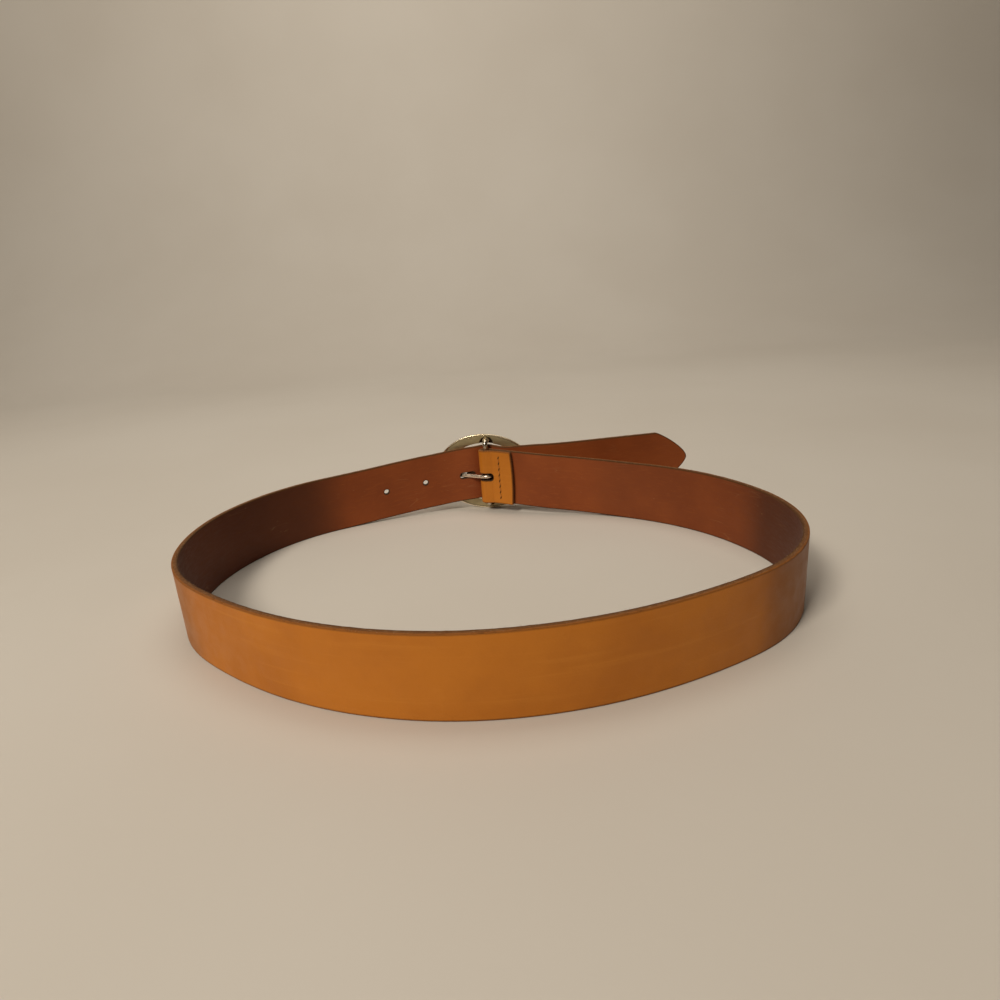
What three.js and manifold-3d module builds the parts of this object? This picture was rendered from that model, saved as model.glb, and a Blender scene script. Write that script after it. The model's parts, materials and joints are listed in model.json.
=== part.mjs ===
// A leather waist belt with a centre-bar buckle, fastened into a loop that stands on its edge.
//
// Everything is modelled about the buckle's bar: the bar stands at the origin, +X runs along the
// buckle's width, +Y points out of the loop and +Z up. The whole group is then turned and moved so
// that the belt's own box is centred over the origin and its lower edge lies at z = 0.
// Millimetres and degrees throughout. Turns are positive to the left.
import * as THREE from "three";
import { mergeVertices } from "three/addons/utils/BufferGeometryUtils.js";
import Module from "manifold-3d";

const wasm = await Module();
wasm.setup();

// ---- Driving dimensions ------------------------------------------------------------------------
const STRAP_WIDTH = 35;
const STRAP_THICKNESS = 2.8;
const LAYER_GAP = 0.15; // clearance between the bar and the leather, and between the folded layers
const BAR_DIAMETER = 3.2;
const FRAME_HEIGHT = 50;
const FRAME_WIDTH = 65;
const FRAME_BAND = 5.8; // width of the frame's band above and below the strap
const FRAME_DIP = 4.5; // the frame's right end hangs lower by this angle
const FRAME_ASIDE = -1.4; // the frame's middle stands this far along X from the bar
const FRAME_BACK = 5.3; // from the bar's axis out to the frame's back face
const FRAME_THICKNESS = 3.6;
const STRAP_DROP = 1.2; // how far the strap has slid down the bar from the frame's middle
const PRONG_DIAMETER = 2.6;
const HOLE_DIAMETER = 3.8;
const HOLE_PITCH = 26;
const HOLES_EACH_SIDE = 2; // punched holes on each side of the one in use
const PRONG_HOLE_AT = 15.8; // along the strap from the bar to the hole in use
const THREAD_DIAMETER = 0.6;
const STITCH_PITCH = 3.8;
const STITCHES = 8;

// ---- Placing of the finished belt --------------------------------------------------------------
const BUCKLE_YAW = -7.6;
const BAR_X = 2.8;
const BAR_Y = 104.7;

// ---- The strap's course ------------------------------------------------------------------------
// Each run is [length, turn].
const PAIR_HEADING = -19.8; // the two folded layers leave the bar in this direction
const FOLD_LEAVE = 20; // how steeply each folded layer closes on the other
const FOLD_STRAIGHT = 3.2;
const FOLD_EASE_RADIUS = 7;
const FLAP_END = 18.4; // from the bar to the flap's cut end
const STITCH_LINE = 10.2; // from the bar to the line of stitching
const FIXED_SIDE = [
  [12.9, 0],
  [31.8, 15.2],
  [131.3, -60.5],
  [105.5, -77.3],
];

const CREST_LEAVE = 22; // how far the strap bends over the bar before it runs down on each side
const CREST_FOOT = [
  [5.2, 0],
  [3.8, -20],
];
const HOLED_SIDE = [
  [8, 0],
  [9, 13],
  [67.9, 17.4],
  [68.4, 40.1],
  [67, 38.2],
  [49, 33],
];
const UNDER_RIM = [
  [14, -1.5],
  [18, 11],
];
const FREE_END = [
  [12, 7.5],
  [77.3, 0],
];
const FLEX_GAP = 0.25; // between the strap and the free end's rounded root
const TIP_LENGTH = 20.6; // from the shoulders, where the cuts start, to the rounded point

const FRONT_STEPS = 24;
const FRONT_REACH_FIXED = 0.34; // handles of the curve across the front, as shares of its chord
const FRONT_REACH_HOLED = 0.47;

// ---- How the strap rises to the buckle, which is taller than the strap -------------------------
const FRAME_CENTRE = FRAME_HEIGHT / 2;
const LIFT = FRAME_CENTRE - STRAP_WIDTH / 2 - STRAP_DROP;
const LIFT_REACH = 101;
const TAIL_RISE = 1.3; // the free end stands this much higher again
const TAIL_RISE_REACH = 35;
const CROSSING_RISE = 1.7; // the holed end rides this much higher where it crosses the bar
const CROSSING_REACH_LEFT = 36;
const CROSSING_REACH_RIGHT = 16;

// ---- Derived -----------------------------------------------------------------------------------
const HALF = STRAP_THICKNESS / 2;
const BAR_RADIUS = BAR_DIAMETER / 2;
const FOLD_RADIUS = BAR_RADIUS + LAYER_GAP + HALF;
const FOLD_OUTER = FOLD_RADIUS + HALF;
const PAIR_OFFSET = HALF + LAYER_GAP / 2;
const CREST_RADIUS = FOLD_OUTER + 1.3 * LAYER_GAP + HALF;
const MID_WIDTH = STRAP_WIDTH / 2;
const rad = THREE.MathUtils.degToRad;

// ---- Solids ------------------------------------------------------------------------------------
function solid(geometry) {
  const bare = geometry.index ? geometry.toNonIndexed() : geometry.clone();
  bare.deleteAttribute("normal");
  bare.deleteAttribute("uv");
  const merged = mergeVertices(bare, 1e-4);
  return new wasm.Manifold(
    new wasm.Mesh({
      numProp: 3,
      vertProperties: new Float32Array(merged.attributes.position.array),
      triVerts: new Uint32Array(merged.index.array),
    }),
  );
}

function geometryOf(manifold) {
  const mesh = manifold.getMesh();
  const geometry = new THREE.BufferGeometry();
  const positions = new THREE.BufferAttribute(mesh.vertProperties, 3);
  geometry.setAttribute("position", positions);
  geometry.setIndex(new THREE.BufferAttribute(mesh.triVerts, 1));
  return geometry;
}

function cut(body, cutters) {
  return cutters.reduce((left, cutter) => left.subtract(cutter), body);
}

// ---- Courses -----------------------------------------------------------------------------------
// Stations along a chain of runs, from a start with x, y and a heading.
function follow(start, runs, stepLength = 9, stepTurn = 5) {
  const stations = [{ ...start, run: 0 }];
  let { x, y, heading } = start;
  let run = 0;
  for (const [length, turn] of runs) {
    const steps = Math.ceil(Math.max(length / stepLength, Math.abs(turn) / stepTurn, 1));
    const half = rad(turn / steps / 2);
    const chord = (length / steps) * (half ? Math.sin(half) / half : 1);
    for (let i = 0; i < steps; i++) {
      const course = rad(heading) + half;
      x += chord * Math.cos(course);
      y += chord * Math.sin(course);
      heading += turn / steps;
      run += length / steps;
      stations.push({ x, y, heading, run });
    }
  }
  return stations;
}

// The same stations walked the other way.
function reversed(stations) {
  return stations.map((s) => ({ ...s, heading: s.heading + 180 })).reverse();
}

// The point a given way off a station, to its left.
function beside(station, left) {
  const normal = rad(station.heading + 90);
  const x = station.x + left * Math.cos(normal);
  const y = station.y + left * Math.sin(normal);
  return new THREE.Vector2(x, y);
}

// A point of the folded pair of layers: along is from the bar, across is outwards.
function onPair(along, across) {
  return beside(
    {
      x: along * Math.cos(rad(PAIR_HEADING)),
      y: along * Math.sin(rad(PAIR_HEADING)),
      heading: PAIR_HEADING,
    },
    across,
  );
}

const FOLD_END =
  (FOLD_RADIUS + FOLD_EASE_RADIUS) * Math.sin(rad(FOLD_LEAVE)) +
  FOLD_STRAIGHT * Math.cos(rad(FOLD_LEAVE));

function fixedCourse() {
  const ease = [rad(FOLD_LEAVE) * FOLD_EASE_RADIUS, FOLD_LEAVE];
  const wrapTurn = 180 + 2 * FOLD_LEAVE;
  const start = onPair(FLAP_END, -PAIR_OFFSET);
  return follow({ x: start.x, y: start.y, heading: PAIR_HEADING + 180 }, [
    [FLAP_END - FOLD_END, 0],
    ease,
    [FOLD_STRAIGHT, 0],
    [rad(wrapTurn) * FOLD_RADIUS, -wrapTurn],
    [FOLD_STRAIGHT, 0],
    ease,
    ...FIXED_SIDE,
  ]);
}

const CREST = [[rad(CREST_LEAVE) * CREST_RADIUS, CREST_LEAVE], ...CREST_FOOT];

function holedCourse() {
  return follow({ x: 0, y: CREST_RADIUS, heading: 180 }, [...CREST, ...HOLED_SIDE]);
}

const RIM_RUNS = [...CREST.map(([length, turn]) => [length, -turn]), ...UNDER_RIM];

function rimCourse(stopShort) {
  const [length, turn] = RIM_RUNS.at(-1);
  const share = 1 - stopShort / length;
  const runs = [...RIM_RUNS.slice(0, -1), [length * share, turn * share]];
  return follow({ x: 0, y: CREST_RADIUS, heading: 0 }, runs, 6, 4);
}

// The curve across the front, from the end of the fixed side to the end of the holed side.
function frontCourse(from, to) {
  const a = new THREE.Vector2(from.x, from.y);
  const b = new THREE.Vector2(to.x, to.y);
  const gap = a.distanceTo(b);
  const reach = (station, share) => {
    const course = rad(station.heading);
    const handle = new THREE.Vector2(Math.cos(course), Math.sin(course));
    return handle.multiplyScalar(share * gap);
  };
  const curve = new THREE.CubicBezierCurve(
    a,
    a.clone().add(reach(from, FRONT_REACH_FIXED)),
    b.clone().add(reach(to, FRONT_REACH_HOLED)),
    b,
  );
  const stations = [];
  for (let i = 1; i < FRONT_STEPS; i++) {
    const point = curve.getPoint(i / FRONT_STEPS);
    const tangent = curve.getTangent(i / FRONT_STEPS);
    const heading = THREE.MathUtils.radToDeg(tangent.angle());
    stations.push({ x: point.x, y: point.y, heading });
  }
  return stations;
}

// The strap's plan outline: one side of the course out, the other side back.
function outlineOf(stations) {
  const left = stations.map((s) => beside(s, HALF));
  const right = stations.map((s) => beside(s, -HALF));
  return [...left, ...right.reverse()];
}

function standing(points, height) {
  return new THREE.ExtrudeGeometry(new THREE.Shape(points), {
    depth: height,
    bevelEnabled: false,
  });
}

// ---- Lift --------------------------------------------------------------------------------------
function smooth(share) {
  const t = THREE.MathUtils.clamp(share, 0, 1);
  return t * t * (3 - 2 * t);
}

// The holed end lies outside the folded end: left of the bar outside the fold's round, and right of
// it outside a line that slopes in with the folded end and then runs level.
const DIVIDE_AT_BAR = FOLD_OUTER + 0.1;
const DIVIDE_SLOPE = -0.36;
const DIVIDE_LEVEL = -1;

function onHoledEnd(x, y) {
  if (x > 0) return y > Math.max(DIVIDE_AT_BAR + DIVIDE_SLOPE * x, DIVIDE_LEVEL);
  return Math.hypot(x, y) > DIVIDE_AT_BAR;
}

function liftAt(x, y) {
  const rise = LIFT * smooth(1 - Math.hypot(x, y) / LIFT_REACH);
  if (!onHoledEnd(x, y)) return rise;
  const fromCrossing = Math.hypot(x, y - CREST_RADIUS);
  const reach = x > 0 ? CROSSING_REACH_RIGHT : CROSSING_REACH_LEFT;
  const crossing = CROSSING_RISE * smooth(1 - fromCrossing / reach);
  return crossing + (x > 0 ? LIFT + TAIL_RISE * smooth(x / TAIL_RISE_REACH) : rise);
}

function lifted(manifold) {
  return manifold.warp((vertex) => {
    vertex[2] += liftAt(vertex[0], vertex[1]);
  });
}

// ---- Cutters and round bars --------------------------------------------------------------------
// A rod of a given section, centred on a point of the strap and square to its course.
function punch(station, radius, length, height = MID_WIDTH) {
  const rod = new THREE.CylinderGeometry(radius, radius, length, 20);
  rod.rotateZ(rad(station.heading));
  rod.translate(station.x, station.y, height);
  return solid(rod);
}

function circle(radius, sides) {
  const points = [];
  for (let i = 0; i < sides; i++) {
    const angle = (2 * Math.PI * i) / sides;
    points.push(new THREE.Vector2(radius * Math.cos(angle), radius * Math.sin(angle)));
  }
  return new THREE.Shape(points);
}

function wire(points, radius, sides, steps) {
  const extrudePath = new THREE.CatmullRomCurve3(points);
  return solid(new THREE.ExtrudeGeometry(circle(radius, sides), { steps, extrudePath }));
}

// ---- Strap -------------------------------------------------------------------------------------
// The nearest station to a given length along a course.
function stationAt(course, run) {
  const next = course.findIndex((s) => s.run >= run);
  const b = course[next];
  const a = course[Math.max(next - 1, 0)];
  const share = b.run > a.run ? (run - a.run) / (b.run - a.run) : 0;
  return {
    x: THREE.MathUtils.lerp(a.x, b.x, share),
    y: THREE.MathUtils.lerp(a.y, b.y, share),
    heading: THREE.MathUtils.lerp(a.heading, b.heading, share),
  };
}

const PRONG_SLOPE = 20.5; // how steeply the prong's shank leaves the bar, out and to the left
const PRONG_HOLE_SLOPE = 26; // its slope where it passes through the strap
const PRONG_HEIGHT = LIFT + MID_WIDTH;
const PRONG_HOLE_TALL = 4.9; // across the prong, with room for it to swing
const PRONG_HOLE_WIDE = 3.9;
const PRONG_HOLE_REACH = 8;
const SLOT_HEIGHT = 4.6;
const SLOT_BEYOND_BAR = 4.7;

function prongHole(course) {
  const at = stationAt(course, PRONG_HOLE_AT);
  const stadium = new THREE.Shape();
  const radius = PRONG_HOLE_WIDE / 2;
  const straight = PRONG_HOLE_TALL / 2 - radius;
  stadium.absarc(0, straight, radius, 0, Math.PI);
  stadium.absarc(0, -straight, radius, Math.PI, 2 * Math.PI);
  const hole = new THREE.ExtrudeGeometry(stadium, {
    depth: 2 * PRONG_HOLE_REACH,
    bevelEnabled: false,
    curveSegments: 8,
  });
  hole.translate(0, 0, -PRONG_HOLE_REACH);
  hole.rotateY(-Math.PI / 2);
  hole.rotateZ(rad(-PRONG_HOLE_SLOPE));
  hole.translate(at.x, at.y, PRONG_HEIGHT - liftAt(at.x, at.y));
  return solid(hole);
}

function foldSlot() {
  const radius = SLOT_HEIGHT / 2;
  const inner = -FOLD_OUTER - 0.5;
  const outer = FOLD_OUTER + 0.08;
  const depth = outer - inner;
  const y = (outer + inner) / 2;
  const left = -FOLD_OUTER - 0.08;
  const right = SLOT_BEYOND_BAR - radius;
  const slab = new THREE.BoxGeometry(right - left, depth, SLOT_HEIGHT);
  slab.translate((left + right) / 2, y, MID_WIDTH);
  const end = new THREE.CylinderGeometry(radius, radius, depth, 20).translate(right, y, MID_WIDTH);
  return solid(slab).add(solid(end));
}

function needleHeights() {
  const first = MID_WIDTH - ((STITCHES - 1) * STITCH_PITCH) / 2;
  return Array.from({ length: STITCHES }, (_, i) => first + i * STITCH_PITCH);
}

const NEEDLE_HOLE_RADIUS = 0.95;

function needleHoles() {
  const at = onPair(STITCH_LINE, 0);
  const station = { x: at.x, y: at.y, heading: PAIR_HEADING };
  const length = 4 * STRAP_THICKNESS;
  return needleHeights().map((height) => punch(station, NEEDLE_HOLE_RADIUS, length, height));
}

function makeStrap() {
  const fixed = fixedCourse();
  const holed = holedCourse();
  const rim = rimCourse(HALF + FLEX_GAP);
  const front = frontCourse(fixed.at(-1), holed.at(-1));
  const stations = [...fixed, ...front, ...reversed(holed), ...rim.slice(1)];
  const body = solid(standing(outlineOf(stations), STRAP_WIDTH));
  const cutters = [prongHole(holed), foldSlot(), ...needleHoles()];
  for (let i = 1; i <= HOLES_EACH_SIDE; i++) {
    const outward = stationAt(holed, PRONG_HOLE_AT + i * HOLE_PITCH);
    const inward = stationAt(rim, i * HOLE_PITCH - PRONG_HOLE_AT);
    cutters.push(punch(outward, HOLE_DIAMETER / 2, 2 * STRAP_THICKNESS));
    cutters.push(punch(inward, HOLE_DIAMETER / 2, 2 * STRAP_THICKNESS));
  }
  return lifted(cut(body, cutters));
}

// The free end: round at the root, where it flexes, and cut from two shoulders to a blunt point.
function makeTail() {
  const hinge = rimCourse(0).at(-1);
  const stations = follow(hinge, FREE_END, 6, 3);
  const tip = stations.at(-1);
  const root = [];
  for (let i = 1; i < 8; i++) {
    const angle = rad(hinge.heading - 90 - (180 * i) / 8);
    root.push(new THREE.Vector2(hinge.x + HALF * Math.cos(angle), hinge.y + HALF * Math.sin(angle)));
  }
  const body = solid(standing([...outlineOf(stations), ...root], STRAP_WIDTH));

  const side = new THREE.Shape();
  const straight = FREE_END.reduce((sum, [length]) => sum + length, 0) + 2 * HALF;
  side.moveTo(-straight, -1);
  side.lineTo(-TIP_LENGTH, -1);
  side.lineTo(-TIP_LENGTH, 0);
  const [cutRun, cutRise] = [-0.63 * TIP_LENGTH, 0.16 * MID_WIDTH];
  const pointRise = 0.74 * MID_WIDTH;
  side.bezierCurveTo(cutRun, cutRise, 0, pointRise, 0, MID_WIDTH);
  side.bezierCurveTo(0, STRAP_WIDTH - pointRise, cutRun, STRAP_WIDTH - cutRise, -TIP_LENGTH, STRAP_WIDTH);
  side.lineTo(-TIP_LENGTH, STRAP_WIDTH + 1);
  side.lineTo(-straight, STRAP_WIDTH + 1);
  const depth = 60;
  const profile = new THREE.ExtrudeGeometry(side, { depth, bevelEnabled: false, curveSegments: 10 });
  profile.translate(0, 0, -depth / 2);
  profile.rotateX(Math.PI / 2);
  profile.rotateZ(rad(tip.heading));
  profile.translate(tip.x, tip.y, 0);
  return lifted(body.intersect(solid(profile)));
}

// ---- Buckle ------------------------------------------------------------------------------------
const BAR_LEG_AT = 21; // from the frame's middle up and down to the bar's legs
const BAR_BEND_RADIUS = 2.4;
const BAR_LEG_DEPTH = 2.4; // how far a leg is sunk in the frame
const LEG_CLEARANCE = 0.2;
const POCKET_RADIUS = 4.4;
const POCKET_AT = 18.8;
const POCKET_DEPTH = 1.4;

// A ring of D section, domed in front and flat behind, widened to an oval.
function makeFrame() {
  const outer = FRAME_HEIGHT / 2;
  const inner = outer - FRAME_BAND;
  const middle = (outer + inner) / 2;
  const half = FRAME_BAND / 2;
  const corner = 0.7;
  const shoulder = 1;
  const crown = FRAME_THICKNESS - shoulder;
  const profile = [
    new THREE.Vector2(inner + corner, 0),
    new THREE.Vector2(outer - corner, 0),
    new THREE.Vector2(outer - 0.2 * corner, 0.35 * corner),
  ];
  for (let i = 0; i <= 10; i++) {
    const angle = (Math.PI * i) / 10;
    profile.push(
      new THREE.Vector2(middle + half * Math.cos(angle), shoulder + crown * Math.sin(angle)),
    );
  }
  profile.push(new THREE.Vector2(inner + 0.2 * corner, 0.35 * corner));
  profile.push(profile[0].clone());
  const ring = new THREE.LatheGeometry(profile, 60);
  ring.scale(FRAME_WIDTH / FRAME_HEIGHT, 1, 1);
  ring.rotateY(rad(FRAME_DIP));
  ring.computeBoundingBox();
  ring.scale(1, 1, FRAME_CENTRE / ring.boundingBox.max.z);
  ring.translate(FRAME_ASIDE, FRAME_BACK, FRAME_CENTRE);

  const across = (radius, depth, height) => {
    const drill = new THREE.CylinderGeometry(radius, radius, 2 * depth, 24);
    return solid(drill.translate(0, FRAME_BACK, height));
  };
  const cutters = [-1, 1].flatMap((way) => [
    across(POCKET_RADIUS, POCKET_DEPTH, FRAME_CENTRE + way * POCKET_AT),
    across(
      BAR_RADIUS + LEG_CLEARANCE,
      BAR_LEG_DEPTH + LEG_CLEARANCE,
      FRAME_CENTRE + way * BAR_LEG_AT,
    ),
  ]);
  return cut(solid(ring), cutters);
}

// The bar is bent square at each end, and its two legs stand in the frame.
function makeBar() {
  const end = FRAME_BACK + BAR_LEG_DEPTH;
  const leg = end - BAR_BEND_RADIUS;
  const bend = [rad(90) * BAR_BEND_RADIUS, 90];
  const runs = [[leg, 0], bend, [2 * (BAR_LEG_AT - BAR_BEND_RADIUS), 0], bend, [leg, 0]];
  const start = { x: end, y: FRAME_CENTRE + BAR_LEG_AT, heading: 180 };
  const stations = follow(start, runs, 4, 18);
  const points = stations.map((s) => new THREE.Vector3(0, s.x, s.y));
  return wire(points, BAR_RADIUS, 12, 36);
}

// The prong curls round the bar, passes out through the strap and rests on the near rim.
const SHANK = [
  [15, 0],
  [6, -16],
  [4.7, -4],
  [6, 38],
  [3, 3],
];
const CURL_TURN = 270;

function makeProng() {
  const radius = PRONG_DIAMETER / 2;
  const curl = BAR_RADIUS + LAYER_GAP + radius;
  const heading = 90 - PRONG_SLOPE;
  const start = {
    x: -curl * Math.sin(rad(heading)),
    y: curl * Math.cos(rad(heading)),
    heading,
  };
  const runs = [[rad(CURL_TURN) * curl, -CURL_TURN], ...SHANK];
  const stations = follow(start, runs, 3, 15);
  const points = stations.map((s) => new THREE.Vector3(s.x, s.y, PRONG_HEIGHT));
  const tip = new THREE.SphereGeometry(radius, 12, 8);
  const { x, y } = stations.at(-1);
  return wire(points, radius, 12, 48).add(solid(tip.translate(x, y, PRONG_HEIGHT)));
}

// ---- Stitching ---------------------------------------------------------------------------------
const THREAD_CLEARANCE = 0.12;
const THREAD_DIP = 1.1; // how deep each stitch dives into its needle hole
const DIP_SHAPE = [
  [-1.5, 0],
  [-0.8, 0],
  [-0.4, 0.55],
  [0, 1],
  [0.4, 0.55],
  [0.8, 0],
  [1.5, 0],
]; // height from the hole, share of the dip

// One thread lies along each face of the fold and dives into every needle hole.
function makeThread(side) {
  const radius = THREAD_DIAMETER / 2;
  const level = PAIR_OFFSET + HALF + radius + THREAD_CLEARANCE;
  const points = needleHeights().flatMap((height) =>
    DIP_SHAPE.map(([above, share]) => {
      const { x, y } = onPair(STITCH_LINE, side * (level - share * THREAD_DIP));
      return new THREE.Vector3(x, y, height + above);
    }),
  );
  return lifted(wire(points, radius, 6, 12 * STITCHES));
}

// ---- The belt ----------------------------------------------------------------------------------
const LEATHER = { color: 0xa4622a, roughness: 0.55, metalness: 0 };
const GOLD = { color: 0xc9a24a, roughness: 0.25, metalness: 1 };
const STEEL = { color: 0xb9b4a8, roughness: 0.3, metalness: 1 };
const THREAD = { color: 0x4a2a14, roughness: 0.8, metalness: 0 };

const belt = new THREE.Group();

function addPart(name, manifold, finish) {
  const mesh = new THREE.Mesh(geometryOf(manifold), new THREE.MeshStandardMaterial(finish));
  mesh.name = name;
  belt.add(mesh);
}

addPart("strap", makeStrap(), LEATHER);
addPart("strap_tail", makeTail(), LEATHER);
addPart("buckle_frame", makeFrame(), GOLD);
addPart("centre_bar", makeBar(), STEEL);
addPart("prong", makeProng(), STEEL);
addPart("needle_thread", makeThread(-1), THREAD);
addPart("bobbin_thread", makeThread(1), THREAD);

belt.rotation.z = rad(BUCKLE_YAW);
belt.position.set(BAR_X, BAR_Y, 0);

export default belt;
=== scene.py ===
"""A leather waist belt with a centre-bar buckle, fastened into a loop that stands on its edge.

Shapes are worked out in millimetres about the buckle's bar: the bar stands at the origin, +X runs
along the buckle's width, +Y points out of the loop and +Z up. in_frame() turns and moves them into the
frame's metres. Turns are in degrees, positive to the left.
"""

import json
import math
import random

import bmesh
import bpy
import numpy as np
from mathutils import Euler, Matrix, Vector, noise


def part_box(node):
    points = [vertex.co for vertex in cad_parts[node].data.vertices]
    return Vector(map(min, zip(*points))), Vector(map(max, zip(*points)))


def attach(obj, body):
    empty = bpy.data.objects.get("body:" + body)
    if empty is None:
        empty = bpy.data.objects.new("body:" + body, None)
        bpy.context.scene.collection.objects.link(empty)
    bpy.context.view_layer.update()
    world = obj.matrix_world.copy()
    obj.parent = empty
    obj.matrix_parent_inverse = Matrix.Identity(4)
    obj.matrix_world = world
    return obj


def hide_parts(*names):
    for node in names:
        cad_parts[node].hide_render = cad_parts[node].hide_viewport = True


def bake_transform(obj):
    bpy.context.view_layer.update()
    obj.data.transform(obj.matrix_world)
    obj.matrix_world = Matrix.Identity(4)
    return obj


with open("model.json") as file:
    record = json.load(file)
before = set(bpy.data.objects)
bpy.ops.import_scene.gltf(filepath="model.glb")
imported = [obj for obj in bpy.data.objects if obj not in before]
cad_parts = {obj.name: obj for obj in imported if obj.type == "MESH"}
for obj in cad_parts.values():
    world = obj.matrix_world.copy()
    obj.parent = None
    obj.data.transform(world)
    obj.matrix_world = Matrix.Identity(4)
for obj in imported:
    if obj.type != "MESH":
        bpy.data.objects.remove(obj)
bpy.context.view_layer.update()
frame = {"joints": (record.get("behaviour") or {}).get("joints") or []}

MM = 0.001
JOINTS = {joint["name"]: joint for joint in frame["joints"]}
BAR = Vector(JOINTS["buckle_swing"]["pos_m"])
BUCKLE_YAW = -7.6


def height_of(node):
    low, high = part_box(node)
    return (high.z - low.z) / MM


# ---- Driving dimensions, as the frame was built
STRAP_WIDTH = 35.0
STRAP_THICKNESS = 2.8
LAYER_GAP = 0.15
BAR_DIAMETER = 3.2
PRONG_DIAMETER = height_of("prong")
FRAME_HEIGHT = height_of("buckle_frame")
FRAME_WIDTH = 65.0
FRAME_BAND = 5.8
FRAME_DIP = math.radians(4.5)
FRAME_ASIDE = -1.4
FRAME_BACK = 5.3
FRAME_THICKNESS = 3.6
STRAP_DROP = 1.2
HOLE_DIAMETER = 3.8
HOLE_PITCH = 26.0
PRONG_HOLE_AT = 15.8
STITCH_PITCH = 3.8
STITCHES = 8

HALF = STRAP_THICKNESS / 2
BAR_RADIUS = BAR_DIAMETER / 2
FOLD_RADIUS = BAR_RADIUS + LAYER_GAP + HALF
FOLD_OUTER = FOLD_RADIUS + HALF
PAIR_OFFSET = HALF + LAYER_GAP / 2
CREST_RADIUS = FOLD_OUTER + 1.3 * LAYER_GAP + HALF
MID_WIDTH = STRAP_WIDTH / 2
FRAME_CENTRE = FRAME_HEIGHT / 2
LIFT = FRAME_CENTRE - MID_WIDTH - STRAP_DROP
LIFT_REACH = 101.0
TAIL_RISE = 1.3
TAIL_RISE_REACH = 35.0
CROSSING_RISE = 1.7
CROSSING_REACH_LEFT = 36.0
CROSSING_REACH_RIGHT = 16.0
PRONG_HEIGHT = LIFT + MID_WIDTH

# ---- The strap's course, as the frame was built: each run is (length, turn)
PAIR_HEADING = -19.8
FOLD_LEAVE = 20.0
FOLD_STRAIGHT = 3.2
FOLD_EASE_RADIUS = 7.0
FLAP_END = 18.4
STITCH_LINE = 10.2
FIXED_SIDE = [(12.9, 0), (31.8, 15.2), (131.3, -60.5), (105.5, -77.3)]
CREST = [(math.radians(22) * CREST_RADIUS, 22), (5.2, 0), (3.8, -20)]
HOLED_SIDE = [(8, 0), (9, 13), (67.9, 17.4), (68.4, 40.1), (67, 38.2), (49, 33)]
UNDER_RIM = [(14, -1.5), (18, 11)]
FREE_END = [(12, 7.5), (77.3, 0)]
FRONT_REACH_FIXED = 0.34  # handles of the curve across the front, as shares of its chord
FRONT_REACH_HOLED = 0.47
TIP_LENGTH = 20.6

TURN = np.array(Euler((0, 0, math.radians(BUCKLE_YAW))).to_matrix())
BAR_FOOT = np.array([BAR.x, BAR.y, 0])


def in_frame(points):
    """Local millimetres to the frame's metres."""
    return np.asarray(points, float) @ TURN.T * MM + BAR_FOOT


def to_local(points):
    """The frame's metres back to local millimetres."""
    return (np.asarray(points, float) - BAR_FOOT) @ TURN / MM


def smooth(share):
    """An even start and end to a step from 0 to 1."""
    t = np.clip(share, 0, 1)
    return t * t * (3 - 2 * t)


# ---- Course
STEP = 0.25
EASINGS = 1200  # passes that ease the joins between runs
KEPT_AFTER_FOLD = 14.0  # this much isn't eased, so that the layers stay together
EASED_AFTER = 20.0  # the easing comes in over this much
KEPT_NEAR_BAR = 24.0  # to each side of the crossing
KEPT_SHARE = 0.93


def follow(x, y, heading, runs):
    """Points every STEP along a chain of runs, and the last heading."""
    points = [(x, y)]
    for length, turn in runs:
        steps = math.ceil(length / STEP)
        half = math.radians(turn / steps / 2)
        chord = length / steps * (math.sin(half) / half if half else 1)
        for _ in range(steps):
            way = math.radians(heading) + half
            x += chord * math.cos(way)
            y += chord * math.sin(way)
            heading += turn / steps
            points.append((x, y))
    return np.array(points), heading


def unit(rows):
    """Each row of numbers as a vector of length 1."""
    return rows / np.linalg.norm(rows, axis=1)[:, None]


def cubic(t, a, b, c, d):
    """Points of a cubic curve from a to d with handles b and c."""
    return (1 - t) ** 3 * a + 3 * t * (1 - t) ** 2 * b + 3 * t * t * (1 - t) * c + t**3 * d


def direction(heading):
    """The unit step along a heading in degrees."""
    return np.array([math.cos(math.radians(heading)), math.sin(math.radians(heading))])


def on_pair(along, across):
    """A point of the folded pair of layers: along is from the bar, across is outwards."""
    return along * direction(PAIR_HEADING) + across * direction(PAIR_HEADING + 90)


FOLD_END = (FOLD_RADIUS + FOLD_EASE_RADIUS) * math.sin(math.radians(FOLD_LEAVE))
FOLD_END += FOLD_STRAIGHT * math.cos(math.radians(FOLD_LEAVE))
FOLD_EASE = (math.radians(FOLD_LEAVE) * FOLD_EASE_RADIUS, FOLD_LEAVE)
FOLD_TURN = 180 + 2 * FOLD_LEAVE
FOLD_WRAP = math.radians(FOLD_TURN) * FOLD_RADIUS
LEAD = 2.0  # the course starts this much before the flap's cut end


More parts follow.
